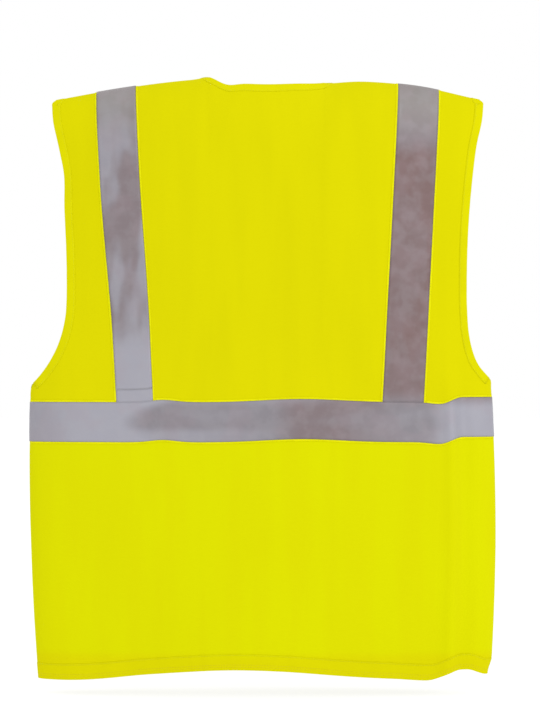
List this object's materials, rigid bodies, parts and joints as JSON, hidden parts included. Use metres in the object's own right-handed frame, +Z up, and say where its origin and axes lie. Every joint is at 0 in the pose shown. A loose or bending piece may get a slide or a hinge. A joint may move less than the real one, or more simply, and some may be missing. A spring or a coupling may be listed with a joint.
{
  "type": "high visibility vest",
  "caption": "Sleeveless fluorescent yellow safety vest with reflective waist and brace tapes, V neck, lapped front opening with hook-and-loop closure and bound edges.",
  "frame": {"origin": "midway between the two neck points, at their height, on the plane of the shoulder and side seams", "axes": "+Z up along the wearer's spine, -Y towards the front, +X towards the wearer's left"},
  "size_m": [0.5954, 0.1091, 0.7621],
  "materials": {
    "cloth": "fluorescent yellow knitted polyester, matt",
    "binding": "fluorescent yellow polyester, matt, folded double",
    "reflective_tape": "silver grey glass bead tape, satin",
    "hook_tape": "moulded nylon hooks, matt",
    "loop_tape": "brushed nylon loops",
    "label": "white satin ribbon, blank"
  },
  "bodies": {
    "vest_body": {"back_panel": "cloth", "front_left_side_panel": "cloth", "front_right_side_panel": "cloth", "back_waist_tape": "reflective_tape", "back_left_brace": "reflective_tape", "back_right_brace": "reflective_tape", "front_left_brace": "reflective_tape", "front_right_brace": "reflective_tape", "front_left_waist_tape_side": "reflective_tape", "front_right_waist_tape_side": "reflective_tape", "neck_binding": "binding", "left_armhole_binding": "binding", "right_armhole_binding": "binding", "back_hem": "binding", "front_left_hem_side": "binding", "front_right_hem_side": "binding", "left_side_seam": "binding", "right_side_seam": "binding", "left_shoulder_seam": "binding", "right_shoulder_seam": "binding"},
    "left_front": {"front_left_flap": "cloth", "front_left_waist_tape_end": "reflective_tape", "front_left_edge_binding": "binding", "front_left_hem_end": "binding", "hook_patch_upper": "hook_tape", "hook_patch_middle": "hook_tape", "hook_patch_lower": "hook_tape"},
    "right_front": {"front_right_flap": "cloth", "front_right_waist_tape_end": "reflective_tape", "front_right_edge_binding": "binding", "front_right_hem_end": "binding", "loop_patch_upper": "loop_tape", "loop_patch_middle": "loop_tape", "loop_patch_lower": "loop_tape"},
    "label": {"care_label": "label"}
  },
  "joints": [
    {"name": "left_front_opening", "type": "hinge", "parent": "vest_body", "child": "left_front", "pos_m": [0.101, -0.0453, -0.41], "axis": [-0.1107, 0.0048, 0.9938], "range_deg": [0, 150]},
    {"name": "right_front_opening", "type": "hinge", "parent": "vest_body", "child": "right_front", "pos_m": [-0.101, -0.0453, -0.41], "axis": [-0.1107, -0.0048, -0.9938], "range_deg": [0, 90]},
    {"name": "label_flap", "type": "hinge", "parent": "vest_body", "child": "label", "pos_m": [0, 0.02485, -0.014], "axis": [-1, 0, 0], "range_deg": [0, 100]}
  ],
  "couplings": [
    {"joint": "right_front_opening", "follows": "left_front_opening", "ratio": 0.6}
  ]
}
